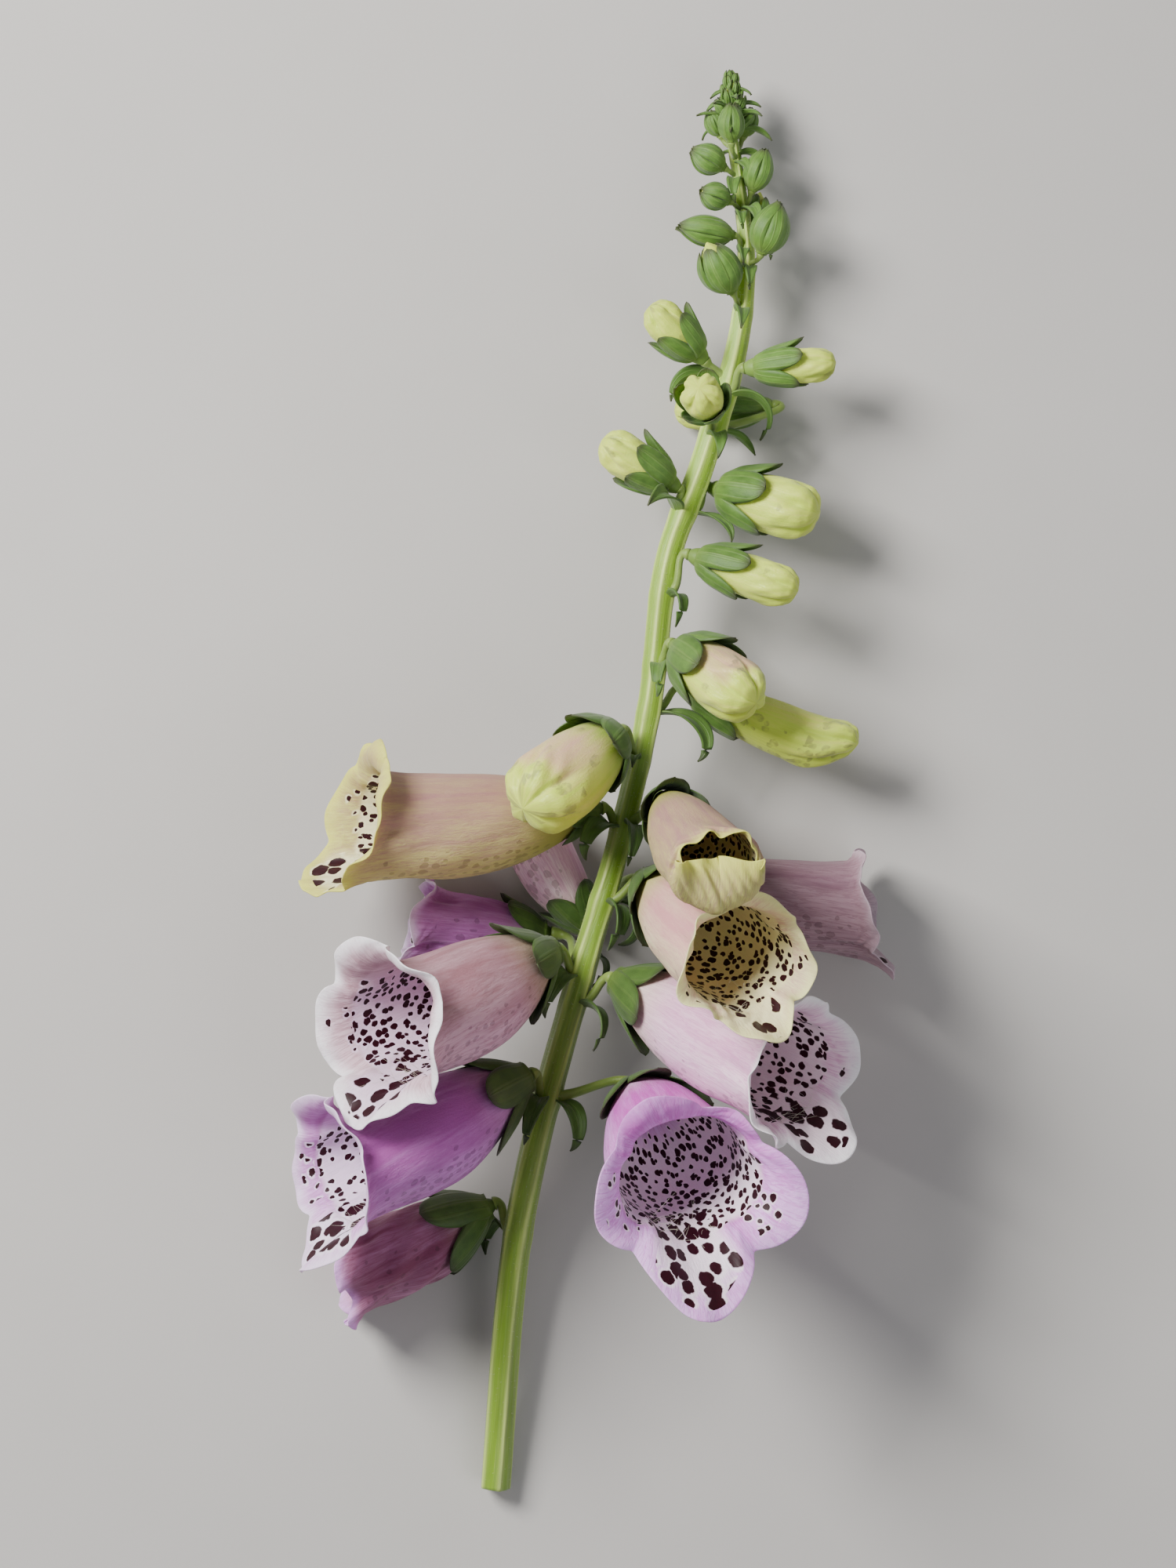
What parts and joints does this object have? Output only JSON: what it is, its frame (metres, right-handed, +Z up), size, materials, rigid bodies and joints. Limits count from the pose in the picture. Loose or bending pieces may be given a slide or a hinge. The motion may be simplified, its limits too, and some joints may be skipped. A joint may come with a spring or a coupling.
{
  "type": "foxglove flower spike",
  "caption": "Cut foxglove flower spike lying on its back: spotted bell flowers below, closed buds above and a green tapering tip on one stem.",
  "frame": {"origin": "under the middle of the bounding box, on the surface that the spike lies on", "axes": "+Y from the cut end towards the growing tip, +Z up from the surface, +X to the right when the spike is seen from above with its tip ahead"},
  "size_m": [0.1398, 0.3306, 0.0881],
  "materials": {
    "stem_green": "fresh ridged green stem, fine hairs",
    "calyx_green": "soft matt leaf",
    "bud_cream": "soft matt closed petal",
    "petal_lilac": "soft matt petal with dark spots inside",
    "petal_cream": "soft matt young petal with a pink flush"
  },
  "bodies": {
    "root": {"stem": "stem_green", "tip_cluster": "calyx_green", "corolla_01": "petal_lilac", "calyx_01": "calyx_green", "corolla_02": "petal_lilac", "calyx_02": "calyx_green", "corolla_03": "petal_lilac", "calyx_03": "calyx_green", "corolla_04": "petal_lilac", "calyx_04": "calyx_green", "corolla_05": "petal_lilac", "calyx_05": "calyx_green", "corolla_06": "petal_lilac", "calyx_06": "calyx_green", "corolla_07": "petal_lilac", "calyx_07": "calyx_green", "corolla_08": "petal_lilac", "calyx_08": "calyx_green", "corolla_09": "petal_cream", "calyx_09": "calyx_green", "corolla_10": "petal_cream", "calyx_10": "calyx_green", "corolla_11": "petal_cream", "calyx_11": "calyx_green", "bud_01": "bud_cream", "bud_calyx_01": "calyx_green", "bud_02": "bud_cream", "bud_calyx_02": "calyx_green", "bud_03": "bud_cream", "bud_calyx_03": "calyx_green", "bud_04": "bud_cream", "bud_calyx_04": "calyx_green", "bud_05": "bud_cream", "bud_calyx_05": "calyx_green", "bud_06": "bud_cream", "bud_calyx_06": "calyx_green", "bud_07": "bud_cream", "bud_calyx_07": "calyx_green", "bud_08": "bud_cream", "bud_calyx_08": "calyx_green", "bud_09": "bud_cream", "bud_calyx_09": "calyx_green", "bud_10": "bud_cream", "bud_calyx_10": "calyx_green", "small_bud_01": "calyx_green", "small_bud_02": "calyx_green", "green_bud_01": "calyx_green", "green_bud_02": "calyx_green", "green_bud_03": "calyx_green", "green_bud_04": "calyx_green", "green_bud_05": "calyx_green", "green_bud_06": "calyx_green", "green_bud_07": "calyx_green", "green_bud_08": "calyx_green"}
  },
  "joints": []
}
